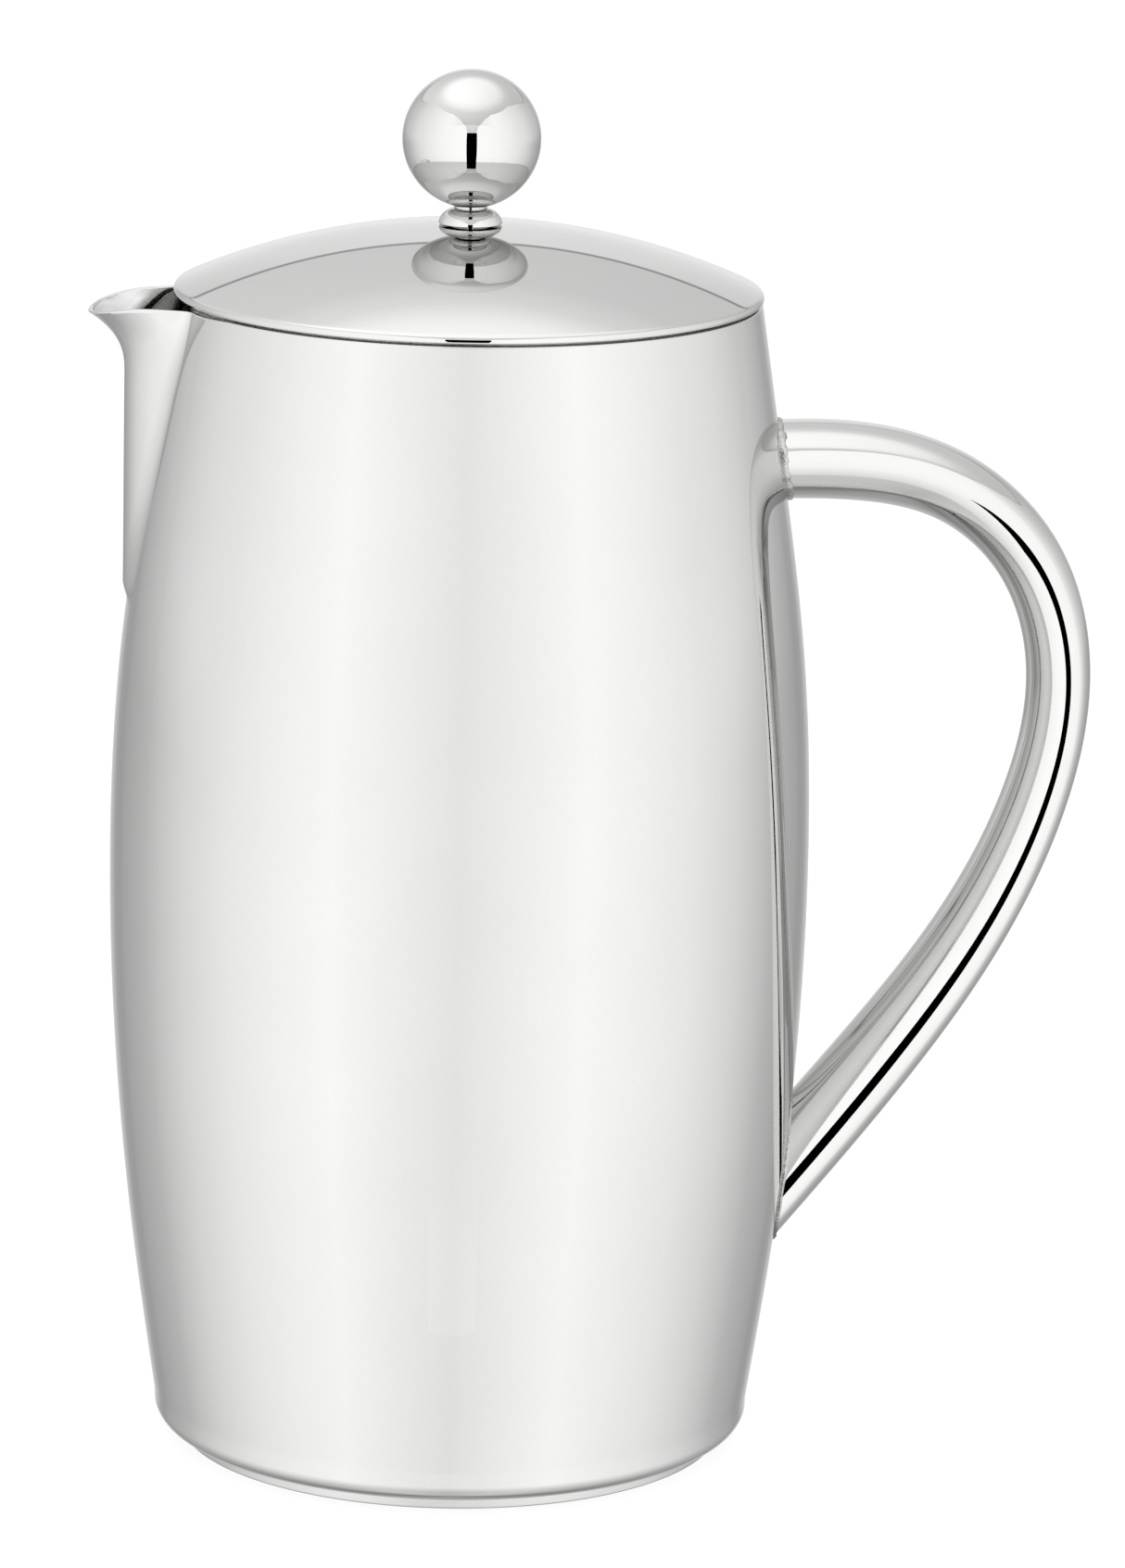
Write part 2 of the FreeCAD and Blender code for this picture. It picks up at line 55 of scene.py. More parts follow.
BARREL = [(48.15, 6.5), (51.55, 30), (54.65, 60), (56.0, 97), (54.45, 130), (50.38, 160), (46.45, 185.8)]
BODY_TOP = 185.8
FOOT_RADIUS = 43.9
FOOT_HEIGHT = 2.0
FOOT_CORNER = [(44.75, FOOT_HEIGHT), (47.15, 3.0), (48.15, 5.4)]
WALL_START = 6.5

HANDLE_PATH = [
    (45.0, 160.1, 12.3), (61.0, 160.1, 12.5), (77.5, 156.1, 11.5), (90.8, 144.0, 10.8),
    (96.1, 125.5, 10.25), (93.2, 105.9, 10.45), (82.6, 82.5, 11.4), (67.4, 61.0, 12.6), (46.6, 35.7, 13.3),
]

# Spout: an upright rounded ridge that flares into the lip above and runs into the barrel below
RIDGE_REACH = 54.3
NOSE_DEPTH, NOSE_HALF_WIDTH = 6.7, 10.3
LIP_EXTRA_DEPTH, LIP_EXTRA_WIDTH, LIP_FULLNESS = 3.2, 2.9, 0.5
LIP_START, LIP_RISE = 172.0, 15.0
FLARE_START, FLARE_RISE, FLARE, FLARE_POWER = 174.0, 10.0, 6.1, 2.6
TAIL_TOP, TAIL_CURVE = 140.8, 0.16
NOSE_HALF_ANGLE = 0.5
CREASE_BLEND = 1.5
LIP_LEVEL, LIP_REACH, LIP_DROP = 50.0, 60.2, 1.6
# The drawn rim stands this much above the CAD rim, away from the spout, so that the lid's gap is narrow
RIM_RISE = 0.42
RIM_EDGE = 0.35
RIM_WALL = 0.9
INSIDE_DEPTH, MOUTH_DEPTH = 2.0, 38.0

LID_APEX = 197.8
LID_DOME = 112.0
LID_RADIUS = 46.6
LID_EDGE_BOTTOM = 186.6
LID_WALL = 0.8
LID_EDGE_RADIUS = 1.0
CAP_HOLE_RADIUS = 3.5
CAP_LIP_RADIUS = 45.3
SKIRT_INNER, SKIRT_OUTER, SKIRT_BOTTOM = 41.8, 42.6, 170.0
FLANGE_INNER, FLANGE_OUTER, FLANGE_TOP = 44.45, 45.25, 187.35
SKIRT_TOP = 186.6

BUSH_BORE, BUSH_RADIUS, BUSH_BOTTOM = 2.6, 3.4, 178.0
GROOVE_RADIUS, GROOVE_BOTTOM, GROOVE_TOP = 2.9, 180.5, 181.7
COLLAR_BOTTOM, COLLAR_TOP = 197.95, 200.3
COLLAR_RADIUS, COLLAR_TOP_RADIUS = 5.0, 3.0

ROD_RADIUS, ROD_TOP, ROD_SHOULDER = 2.5, 202.0, 30.0

BALL_RADIUS = 10.95
BALL_CENTRE = 211.35

# ---------------------------------------------------------------- shader nodes


class Nodes:
    """Short calls for building a node tree; every input may be a number or another node's output."""

    def __init__(self, tree):
        self.tree = tree
        tree.nodes.clear()

    def put(self, socket, value):
        if isinstance(value, bpy.types.NodeSocket):
            self.tree.links.new(value, socket)
        elif value is not None:
            socket.default_value = value

    def add(self, kind, values=(), **settings):
        node = self.tree.nodes.new("ShaderNode" + kind)
        for name, value in settings.items():
            setattr(node, name, value)
        for name, value in dict(values).items():
            self.put(node.inputs[name], value)
        return node

    def math(self, operation, first, second=None, third=None):
        node = self.add("Math", operation=operation)
        for socket, value in zip(node.inputs, (first, second, third)):
            self.put(socket, value)
        return node.outputs[0]

    def curve(self, value, low, high, points):
        """Straight runs through (input, output) points whose outputs lie from low to high."""
        start, end = points[0][0], points[-1][0]
        ramp = self.add("ValToRGB", {"Fac": self.span(value, start, end)})
        ramp.color_ramp.interpolation = "LINEAR"
        stops = ramp.color_ramp.elements
        while len(stops) < len(points):
            stops.new(0.5)
        for stop, (place, level) in zip(stops, points):
            stop.position = (place - start) / (end - start)
            grey = (level - low) / (high - low)
            stop.color = (grey, grey, grey, 1)
        return self.math("MULTIPLY_ADD", ramp.outputs["Color"], high - low, low)

    def span(self, value, start, end):
        """0 at start, 1 at end, held outside."""
        node = self.add("MapRange", {"From Min": start, "From Max": end})
        self.put(node.inputs["Value"], value)
        return node.outputs["Result"]

    def mix(self, factor, first, second):
        return self.math("ADD", first, self.math("MULTIPLY", factor, self.math("SUBTRACT", second, first)))


def linear(brightness):
    """Linear light of a brightness from 0 to 1 as seen."""
    return ((brightness + 0.055) / 1.055) ** 2.4


# ---------------------------------------------------------------- camera and studio

FRONT_TURN = math.radians(-5.0)
CAMERA_YAW, CAMERA_PITCH, CAMERA_ROLL = 0.013785, 0.228245, 0.020610
CAMERA_DISTANCE, CAMERA_HEIGHT = 1.1840, 0.3826
CAMERA_LENS = 242.88


def make_camera():
    """Looks down at the pot from the side, with the handle to the right."""
    yaw, pitch, roll = CAMERA_YAW, CAMERA_PITCH, CAMERA_ROLL
    forward = Vector((math.sin(yaw) * math.cos(pitch), math.cos(yaw) * math.cos(pitch), -math.sin(pitch)))
    right = Vector((math.cos(yaw), -math.sin(yaw), 0))
    up = right.cross(forward)
    side = right * math.cos(roll) + up * math.sin(roll)
    top = up * math.cos(roll) - right * math.sin(roll)
    data = bpy.data.cameras.new("camera")
    data.sensor_fit = "HORIZONTAL"
    data.sensor_width = 36.0
    data.lens = CAMERA_LENS
    data.clip_start = 0.05
    data.clip_end = 100
    camera = bpy.data.objects.new("camera", data)
    SCENE.collection.objects.link(camera)
    turn = Matrix.Rotation(FRONT_TURN, 4, "Z")
    place = Matrix.Translation((0, -CAMERA_DISTANCE, CAMERA_HEIGHT))
    axes = Matrix((side, top, -forward)).transposed().to_4x4()
    camera.matrix_world = turn @ place @ axes
    SCENE.camera = camera


# Reflectance of the polished steel, by which the tent's light is divided
STEEL = 0.65

# Brightness of the light tent, 0 to 1 as seen in the steel: the walls round the pot by degrees from the
# front, factors for the walls low down and from the horizon up, the elevation of their top edge, and the
# ceiling and the floor by elevation
WALL = [(0, 0.89), (25, 0.94), (42, 0.97), (62, 0.94), (82, 0.9), (103, 0.83), (125, 0.72), (150, 0.66),
        (157, 0.7), (163, 0.8), (172, 0.86), (180, 0.88)]
WALL_FOOT = [(120, 1.0), (145, 0.97), (156, 0.90), (165, 0.87), (180, 0.86)]
WALL_HEAD = [(85, 1.0), (108, 1.1), (130, 1.22), (148, 1.22), (160, 1.0), (180, 1.0)]
WALL_TOP = [(0, 15), (8, 17), (11, 27), (25, 38), (42, 44), (92, 43), (115, 34), (136, 22), (148, 20),
            (160, 20), (180, 23)]
CEILING_FRONT = [(10, 0.69), (20, 0.72), (35, 0.78), (50, 0.83), (60, 0.94), (70, 0.98), (90, 0.99)]
CEILING_BACK = [(10, 0.8), (40, 0.8), (48, 0.85), (54, 0.94), (60, 0.98), (90, 0.99)]
FLOOR_LIGHT = [(-90, 0.76), (-60, 0.83), (-45, 0.93), (-36, 0.98), (-20, 1.0), (0, 1.0)]


def make_world():
    """A light tent: curved walls below a ceiling that is grey at its edge and bright overhead."""
    world = bpy.data.worlds.new("studio")
    world.use_nodes = True
    SCENE.world = world
    n = Nodes(world.node_tree)
    direction = n.add("TexCoord").outputs["Generated"]
    turned = n.add("Mapping", {"Vector": direction, "Rotation": (0, 0, -FRONT_TURN)}, vector_type="VECTOR")
    axis = n.add("SeparateXYZ", {"Vector": turned.outputs["Vector"]})
    across, away, height = axis.outputs
    to_degrees = 180 / math.pi
    azimuth = n.math("ABSOLUTE", n.math("ARCTAN2", across, n.math("MULTIPLY", away, -1)))
    azimuth = n.math("MULTIPLY", azimuth, to_degrees)
    elevation = n.math("MULTIPLY", n.math("ARCSINE", height), to_degrees)

    wall = n.curve(azimuth, 0, 1, [(a, linear(v)) for a, v in WALL])
    foot = n.curve(azimuth, 0, 1, [(a, linear(v)) for a, v in WALL_FOOT])
    wall = n.math("MULTIPLY", wall, n.mix(n.span(elevation, 2, -10), 1, foot))
    head = n.curve(azimuth, 0.9, 1.3, WALL_HEAD)
    wall = n.math("MULTIPLY", wall, n.mix(n.span(elevation, -9, -3), 1, head))
    wall_top = n.curve(azimuth, 0, 60, WALL_TOP)
    front = n.curve(elevation, 0, 1, [(a, linear(v)) for a, v in CEILING_FRONT])
    back = n.curve(elevation, 0, 1, [(a, linear(v)) for a, v in CEILING_BACK])
    ceiling = n.mix(n.span(azimuth, 60, 150), front, back)
    ceiling = n.math("MULTIPLY", ceiling, n.math("MULTIPLY_ADD", across, -0.2, 1))
    floor = n.curve(elevation, 0, 1, [(a, linear(v)) for a, v in FLOOR_LIGHT])
    above = n.span(n.math("SUBTRACT", elevation, wall_top), -0.3, 0.3)
    seam = n.span(n.math("ABSOLUTE", n.math("SUBTRACT", elevation, wall_top)), 0.9, 0.25)
    seam = n.math("MULTIPLY", seam, n.span(azimuth, 120, 150))
    light = n.mix(above, n.math("MULTIPLY", wall, floor), ceiling)
    light = n.math("MULTIPLY", light, n.math("MULTIPLY_ADD", seam, -0.55, 1))
    light = n.math("DIVIDE", light, STEEL)
    seen = n.add("LightPath").outputs["Is Camera Ray"]
    strength = n.mix(seen, light, 1.05)
    background = n.add("Background", {"Color": (1, 1, 1, 1), "Strength": strength})
    output = n.add("OutputWorld")
    n.put(output.inputs["Surface"], background.outputs[0])


def flat_card(name, corners):
    mesh = bpy.data.meshes.new(name)
    mesh.from_pydata([Vector(c) * MM for c in corners], [], [(0, 1, 2, 3)])
    card = bpy.data.objects.new(name, mesh)
    SCENE.collection.objects.link(card)
    card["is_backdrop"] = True
    return card


def make_floor():
    """Pale seamless floor, almost shadowless, as under a light tent."""
    size = 8000
    floor = flat_card("floor", [(-size, -size, 0), (size, -size, 0), (size, size, 0), (-size, size, 0)])
    floor.visible_glossy = False
    material = bpy.data.materials.new("floor")
    material.use_nodes = True
    n = Nodes(material.node_tree)
    grain = n.add("TexNoise", {"Scale": 40.0, "Detail": 3.0})
    tone = n.math("MULTIPLY_ADD", grain.outputs["Fac"], 0.01, 0.2)
    colour = n.add("CombineColor", {"Red": tone, "Green": tone, "Blue": tone})
    diffuse = n.add("BsdfDiffuse", {"Color": colour.outputs[0]})
    glow = n.add("Emission", {"Color": (1, 1, 1, 1), "Strength": 0.86})
    both = n.add("AddShader")
    n.put(both.inputs[0], diffuse.outputs[0])
    n.put(both.inputs[1], glow.outputs[0])
    n.put(n.add("OutputMaterial").inputs["Surface"], both.outputs[0])
    floor.data.materials.append(material)


SLIT_DISTANCE = 1150.0
SLIT_HALF_ANGLE = 8.6
SLIT_BOTTOM, SLIT_TOP = -37, 17
FILL_HALF_ANGLE, FILL_BOTTOM, FILL_TOP = 40, -60, 30
FILL_LEVEL = 0.98


def front_card(name, distance, half_angle, low_angle, high_angle):
    """Upright card in front of the pot, seen in reflections only; angles are those seen from the knob."""
    half = distance * math.tan(math.radians(half_angle))
    low = BALL_CENTRE + distance * math.tan(math.radians(low_angle))
    high = BALL_CENTRE + distance * math.tan(math.radians(high_angle))
    card = flat_card(name, [(-half, 0, low), (half, 0, low), (half, 0, high), (-half, 0, high)])
    card.matrix_world = Matrix.Rotation(FRONT_TURN, 4, "Z") @ Matrix.Translation((0, -distance * MM, 0))
    card.visible_camera = False
    card.visible_shadow = False
    material = bpy.data.materials.new(name)
    material.use_nodes = True
    n = Nodes(material.node_tree)
    place = n.add("SeparateXYZ", {"Vector": n.add("TexCoord").outputs["Object"]})
    card.data.materials.append(material)
    sideways = n.math("DIVIDE", n.math("ABSOLUTE", place.outputs[0]), distance * MM)
    azimuth = n.math("MULTIPLY", n.math("ARCTANGENT", sideways), 180 / math.pi)
    return card, n, azimuth


def make_opening(body):
    """The tent's opening, which the camera looks through: black in every piece but the broad ones."""
    card, n, azimuth = front_card("opening", SLIT_DISTANCE, SLIT_HALF_ANGLE, SLIT_BOTTOM, SLIT_TOP)
    level = n.curve(azimuth, 0, 1, [(a, linear(v)) for a, v in WALL[:2]])
    glow = n.add("Emission", {"Color": (1, 1, 1, 1), "Strength": n.math("DIVIDE", level, STEEL)})
    n.put(n.add("OutputMaterial").inputs["Surface"], glow.outputs[0])
    card.light_linking.receiver_collection = body


def make_fill(small):
    """Brightens the wall beside the opening for the small polished parts."""
    card, n, azimuth = front_card("fill", SLIT_DISTANCE + 10, FILL_HALF_ANGLE, FILL_BOTTOM, FILL_TOP)
    missing = [(a, linear(FILL_LEVEL) - linear(v)) for a, v in WALL if a < FILL_HALF_ANGLE]
    level = n.curve(azimuth, 0, 1, missing + [(FILL_HALF_ANGLE, 0.0)])
    glow = n.add("Emission", {"Color": (1, 1, 1, 1), "Strength": n.math("DIVIDE", level, STEEL)})
    clear = n.add("BsdfTransparent")
    both = n.add("AddShader")
    n.put(both.inputs[0], glow.outputs[0])
    n.put(both.inputs[1], clear.outputs[0])
    n.put(n.add("OutputMaterial").inputs["Surface"], both.outputs[0])
    card.light_linking.receiver_collection = small


# ---------------------------------------------------------------- curves and meshes

def cubic(points, count):
    """Smooth curve through points (one row each), sampled evenly along its chord length."""
    p = np.array(points, float)
    t = np.concatenate([[0], np.cumsum(np.linalg.norm(np.diff(p[:, :2], axis=0), axis=1))])
    gap = np.diff(t)
    size = len(t)
    a = np.zeros((size, size))
    b = np.zeros((size, p.shape[1]))
    a[0, 0] = a[-1, -1] = 1
    for i in range(1, size - 1):
        a[i, i - 1:i + 2] = gap[i - 1], 2 * (gap[i - 1] + gap[i]), gap[i]
        b[i] = 6 * ((p[i + 1] - p[i]) / gap[i] - (p[i] - p[i - 1]) / gap[i - 1])
    bend = np.linalg.solve(a, b)
    s = np.linspace(0, t[-1], count)
    k = np.clip(np.searchsorted(t, s, side="right") - 1, 0, size - 2)
    h = gap[k][:, None]
    left, right = (t[k + 1] - s)[:, None], (s - t[k])[:, None]
    return (bend[k] * left ** 3 + bend[k + 1] * right ** 3) / (6 * h) \
        + (p[k] / h - bend[k] * h / 6) * left + (p[k + 1] / h - bend[k + 1] * h / 6) * right


def grid_mesh(name, points, close_rows=False, close_columns=False, sharp=None):
    """Mesh of a grid of points[row][column], shaded smooth."""
    rows, columns = points.shape[:2]
    last_row = rows if close_rows else rows - 1
    last_column = columns if close_columns else columns - 1
    faces = []
    for i in range(last_row):
        for j in range(last_column):
            i2, j2 = (i + 1) % rows, (j + 1) % columns
            faces.append((i * columns + j, i * columns + j2, i2 * columns + j2, i2 * columns + j))
    mesh = bpy.data.meshes.new(name)
    mesh.from_pydata((points.reshape(-1, 3) * MM).tolist(), [], faces)
    mesh.shade_smooth()
    if sharp:
        mesh.set_sharp_from_angle(angle=math.radians(sharp))
    mesh.update()
    thing = bpy.data.objects.new(name, mesh)
    SCENE.collection.objects.link(thing)
    return thing


def lathe(name, profile, columns=256, sharp=40):
    """Surface of revolution of (radius, height) points; the winding faces outwards going up."""
    p = np.array(profile, float)
    angle = np.linspace(0, 2 * math.pi, columns, endpoint=False)
    points = np.stack([p[:, 0:1] * np.cos(angle), p[:, 0:1] * np.sin(angle),
                       np.repeat(p[:, 1:2], columns, axis=1)], axis=2)
    return grid_mesh(name, points, close_columns=True, sharp=sharp)


def round_corner(before, corner, after, radius, count=6):
    """Points of an arc-like bend that replaces a corner of a profile."""
    b, c, a = (np.array(x, float) for x in (before, corner, after))
    start = c + (b - c) / np.linalg.norm(b - c) * radius
    end = c + (a - c) / np.linalg.norm(a - c) * radius
    t = np.linspace(0, 1, count)[:, None]
    return ((1 - t) ** 2 * start + 2 * t * (1 - t) * c + t ** 2 * end).tolist()


def softened(corners, radius):
    """Closed or open polygon with small rounded corners; radius may be one number or one per corner."""
    result = [corners[0]]
    for i in range(1, len(corners) - 1):
        r = radius[i] if isinstance(radius, (list, tuple)) else radius
        result += round_corner(corners[i - 1], corners[i], corners[i + 1], r)
    return result + [corners[-1]]


def ship(thing, body, slot, material, *nodes):
    """Give a finished piece its body and material, and hide the CAD nodes it stands for; the slot is not
    used.
    """
    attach(thing, body)
    if nodes:
        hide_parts(*nodes)
    thing.data.materials.clear()
    thing.data.materials.append(material)
    return thing


# ---------------------------------------------------------------- finishes

EDGE_TINT = (0.82, 0.82, 0.82)
INNER_SEAM_TOP, INNER_SEAM_REACH = 186.0, 46.5
INNER_SEAM_SLOPE, INNER_SEAM_WIDTH = 0.7, 1.9
MESH_RADIUS, MESH_RIM_INSET, WIRE_PAIR = 42.6, 0.5, 0.6


def metal(name, light, dark, rough, grain_scale, stretch=(1, 1, 1), bump=0.0):
    """Steel with fine tone and roughness variation and grain along one direction."""
    material = bpy.data.materials.new(name)
    material.use_nodes = True
    n = Nodes(material.node_tree)
    place = n.add("TexCoord").outputs["Object"]
    turned = n.add("Mapping", {"Vector": place, "Scale": stretch}).outputs[0]
    grain = n.add("TexNoise", {"Vector": turned, "Scale": grain_scale, "Detail": 4.0, "Roughness": 0.6})
    cloud = n.add("TexNoise", {"Vector": place, "Scale": 38.0, "Detail": 2.0})
    both = n.mix(0.35, cloud.outputs["Fac"], grain.outputs["Fac"])
    tone = n.add("ValToRGB", {"Fac": both})
    tone.color_ramp.elements[0].position = 0.35
    tone.color_ramp.elements[0].color = (*dark, 1)
    tone.color_ramp.elements[1].position = 0.65
    tone.color_ramp.elements[1].color = (*light, 1)
    spread = n.math("MULTIPLY_ADD", both, rough[1] - rough[0], rough[0])
    shader = n.add("BsdfPrincipled", {"Metallic": 1.0, "Base Color": tone.outputs["Color"]})
    n.put(shader.inputs["Roughness"], spread)
    shader.inputs["Specular Tint"].default_value = (*EDGE_TINT, 1)
    if bump:
        relief = n.add("Bump", {"Height": grain.outputs["Fac"], "Strength": 1.0, "Distance": bump})
        n.put(shader.inputs["Normal"], relief.outputs[0])
    n.put(n.add("OutputMaterial").inputs["Surface"], shader.outputs[0])
    return material


def spout_inside(name):
    """Satin near the lip, a grainy seam slanting down to the tip, and below the seam a dark polished zone,
    which is painted shade standing for the throat's shadow.
    """
    material = bpy.data.materials.new(name)
    material.use_nodes = True
    n = Nodes(material.node_tree)
    place = n.add("TexCoord").outputs["Object"]
    axis = n.add("SeparateXYZ", {"Vector": place})
    across, _, height = axis.outputs
    seam_at_axis = (INNER_SEAM_TOP + INNER_SEAM_SLOPE * INNER_SEAM_REACH) * MM
    seam = n.math("MULTIPLY_ADD", across, INNER_SEAM_SLOPE, seam_at_axis)
    depth = n.math("SUBTRACT", seam, height)
    past = n.span(depth, -0.1 * MM, 0.1 * MM)
    on_seam = n.span(depth, -(INNER_SEAM_WIDTH + 0.3) * MM, -INNER_SEAM_WIDTH * MM)
    grain = n.add("TexNoise", {"Vector": place, "Scale": 2200.0, "Detail": 3.0}).outputs["Fac"]
    satin = n.math("MULTIPLY_ADD", grain, 0.08, 0.76)
    grainy = n.math("MULTIPLY_ADD", grain, 0.3, 0.75)
    tone = n.mix(on_seam, satin, grainy)
    # Past the seam the tone drops to a dark 0.22: painted shade for the dark throat of the pot.
    tone = n.mix(past, tone, n.math("MULTIPLY_ADD", grain, 0.05, 0.22))
    rough = n.mix(past, n.math("MULTIPLY_ADD", grain, 0.1, 0.26), 0.03)
    colour = n.add("CombineColor", {"Red": tone, "Green": tone, "Blue": tone})
    shader = n.add("BsdfPrincipled", {"Metallic": 1.0, "Base Color": colour.outputs[0], "Roughness": rough})
    n.put(n.add("OutputMaterial").inputs["Surface"], shader.outputs[0])
    return material


def woven(name):
    """Fine square-woven wire cloth: over-and-under wires as relief, with painted shade dark between them."""
    material = bpy.data.materials.new(name)
    material.use_nodes = True
    n = Nodes(material.node_tree)
    axis = n.add("SeparateXYZ", {"Vector": n.add("TexCoord").outputs["Object"]})
    x, y, z = axis.outputs
    around = n.math("MULTIPLY", n.math("ARCTAN2", y, x), MESH_RADIUS * MM)
    squares = n.math("ADD", n.math("MULTIPLY", x, x), n.math("MULTIPLY", y, y))
    side = n.math("GREATER_THAN", n.math("SQRT", squares), (MESH_RADIUS - MESH_RIM_INSET) * MM)
    first, second = n.mix(side, x, around), n.mix(side, y, z)
    pitch = 2 * math.pi / (WIRE_PAIR * MM)
    a = n.math("SINE", n.math("MULTIPLY", first, pitch))
    b = n.math("SINE", n.math("MULTIPLY", second, pitch))
    over = n.math("SINE", n.math("MULTIPLY", n.math("ADD", first, second), pitch / 2))
    wires = n.math("MAXIMUM", n.math("MULTIPLY_ADD", over, 0.2, a), n.math("MULTIPLY_ADD", over, -0.2, b))
    # The near-black stop between the wires is painted shade standing for the openings and the shaded hollows
    # of the weave.
    tone = n.add("ValToRGB", {"Fac": n.span(wires, -0.6, 1.2)})
    tone.color_ramp.elements[0].position = 0.35
    tone.color_ramp.elements[0].color = (0.035, 0.035, 0.036, 1)
    tone.color_ramp.elements[1].position = 0.8
    tone.color_ramp.elements[1].color = (0.62, 0.62, 0.61, 1)
    relief = n.add("Bump", {"Height": wires, "Strength": 0.8, "Distance": 0.00008})
    shader = n.add("BsdfPrincipled", {"Metallic": 1.0, "Base Color": tone.outputs["Color"],
                                      "Normal": relief.outputs[0]})
    n.put(shader.inputs["Roughness"], n.math("MULTIPLY_ADD", n.span(wires, -0.5, 1.0), -0.25, 0.55))
    n.put(n.add("OutputMaterial").inputs["Surface"], shader.outputs[0])
    return material


POLISHED = metal("polished_steel", (0.657, 0.657, 0.652), (0.643, 0.643, 0.637), (0.008, 0.018), 900.0)
SATIN = metal("satin_steel", (0.60, 0.60, 0.59), (0.52, 0.52, 0.51), (0.22, 0.34), 700.0, (1, 1, 9), 0.00001)
BRUSHED = metal("brushed_steel", (0.62, 0.62, 0.61), (0.56, 0.56, 0.55), (0.16, 0.24), 500.0, (1, 1, 12),
                0.000004)
WELD = metal("weld_steel", (0.64, 0.64, 0.63), (0.12, 0.12, 0.118), (0.08, 0.30), 800.0, bump=0.0002)
ROD = metal("rod_steel", (0.64, 0.64, 0.63), (0.60, 0.60, 0.59), (0.06, 0.14), 800.0, (1, 1, 14), 0.000004)
SPRING = metal("spring_steel", (0.66, 0.66, 0.65), (0.54, 0.54, 0.53), (0.18, 0.30), 1200.0, bump=0.000006)
PLATE = metal("plate_steel", (0.74, 0.74, 0.73), (0.66, 0.66, 0.65), (0.16, 0.28), 900.0, (1, 6, 1),
              0.000008)
LINER = metal("liner_steel", (0.88, 0.88, 0.87), (0.80, 0.80, 0.79), (0.30, 0.42), 700.0, (1, 1, 9), 0.00001)
INSIDE = spout_inside("spout_inside")
MESH = woven("mesh_steel")


# ---------------------------------------------------------------- body and spout

WALL_CURVE = cubic(BARREL, 1500)


def barrel_radius(height):
    return np.interp(height, WALL_CURVE[:, 1], WALL_CURVE[:, 0])


def arc_through(a, b, c, count):
    """Points of the circular arc from a through b to c."""
    (ax, ay), (bx, by), (cx, cy) = a, b, c
    d = 2 * (ax * (by - cy) + bx * (cy - ay) + cx * (ay - by))
    sa, sb, sc = ax * ax + ay * ay, bx * bx + by * by, cx * cx + cy * cy
    ox = (sa * (by - cy) + sb * (cy - ay) + sc * (ay - by)) / d
    oy = (sa * (cx - bx) + sb * (ax - cx) + sc * (bx - ax)) / d
    radius = math.hypot(ax - ox, ay - oy)
    first, middle, last = (math.atan2(y - oy, x - ox) for x, y in (a, b, c))
    turn = (last - first) % (2 * math.pi)
    if (middle - first) % (2 * math.pi) > turn:
        turn -= 2 * math.pi
    t = first + turn * np.linspace(0, 1, count)
    return np.stack([ox + radius * np.cos(t), oy + radius * np.sin(t)], axis=1)


def nose_radius(alpha, height):
    """Distance from the pot's axis to the spout's outer face, at angle alpha from the spout's direction."""
    rise = np.maximum(0, (height - LIP_START) / LIP_RISE)
    ease = 1 - (1 - rise) ** 2
    flare = FLARE * (np.maximum(0, height - FLARE_START) / FLARE_RISE) ** FLARE_POWER
    reach = RIDGE_REACH + flare - TAIL_CURVE * np.maximum(0, TAIL_TOP - height) ** 2
    depth = NOSE_DEPTH + LIP_EXTRA_DEPTH * ease + flare
    half = NOSE_HALF_WIDTH + LIP_EXTRA_WIDTH * ease
    fullness = 2 + LIP_FULLNESS * rise ** 2
    low, high = np.zeros_like(reach), reach / np.cos(alpha)
    for _ in range(40):
        middle = (low + high) / 2
        outside = middle * np.cos(alpha) > reach - depth * np.abs(middle * np.sin(alpha) / half) ** fullness
        low, high = np.where(outside, low, middle), np.where(outside, middle, high)
    return low


def shell_radius(alpha, height):
    """Outer radius of the pot with its spout, blended softly where they meet."""
    wall = barrel_radius(height)
    near = np.clip(alpha, -NOSE_HALF_ANGLE, NOSE_HALF_ANGLE)
    nose = np.where(np.abs(alpha) < NOSE_HALF_ANGLE, nose_radius(near, height), 0)
    share = np.clip(0.5 + 0.5 * (nose - wall) / CREASE_BLEND, 0, 1)
    return wall * (1 - share) + nose * share + CREASE_BLEND * share * (1 - share)


def lip_height(reach):
    """Height of the rim at a distance towards the spout: level, then drooping on an arc."""
    run = LIP_REACH - LIP_LEVEL
    bend = (run ** 2 + LIP_DROP ** 2) / (2 * LIP_DROP)
    past = np.clip(reach - LIP_LEVEL, 0, bend)
    return BODY_TOP - bend + np.sqrt(bend ** 2 - past ** 2)


